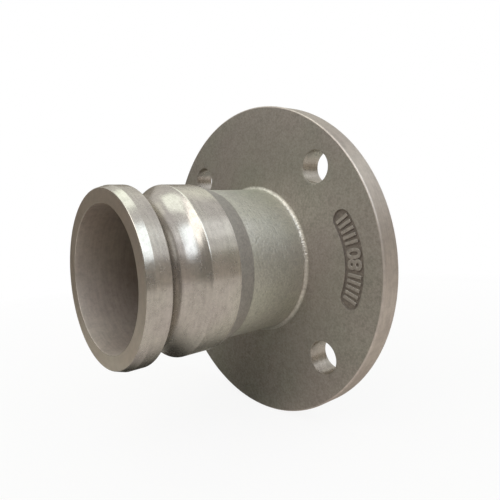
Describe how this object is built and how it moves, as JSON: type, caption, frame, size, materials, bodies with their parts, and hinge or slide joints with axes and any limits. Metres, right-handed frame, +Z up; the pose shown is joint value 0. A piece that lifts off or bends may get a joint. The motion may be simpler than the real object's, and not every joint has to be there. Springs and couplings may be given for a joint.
{
  "type": "flanged camlock adapter",
  "caption": "Rigid pipe fitting with a male cam-groove spigot on one end and a drilled round flange on the other, open right through its bore.",
  "frame": {"origin": "centre of the flange's gasket face, on the bore axis", "axes": "+Y along the bore axis out of the gasket face, so the spigot's nose points along -Y; +Z up, with the bolt holes off the vertical centreline; +X towards the recessed panel"},
  "size_m": [0.185, 0.112, 0.185],
  "materials": {
    "machined_steel": "stainless steel, turned satin surface",
    "blasted_steel": "stainless steel, matte as-cast and blasted skin"
  },
  "bodies": {
    "root": {"spigot": "machined_steel", "flange": "blasted_steel", "front_fillet_weld": "blasted_steel", "rear_groove_weld": "machined_steel"}
  },
  "joints": []
}
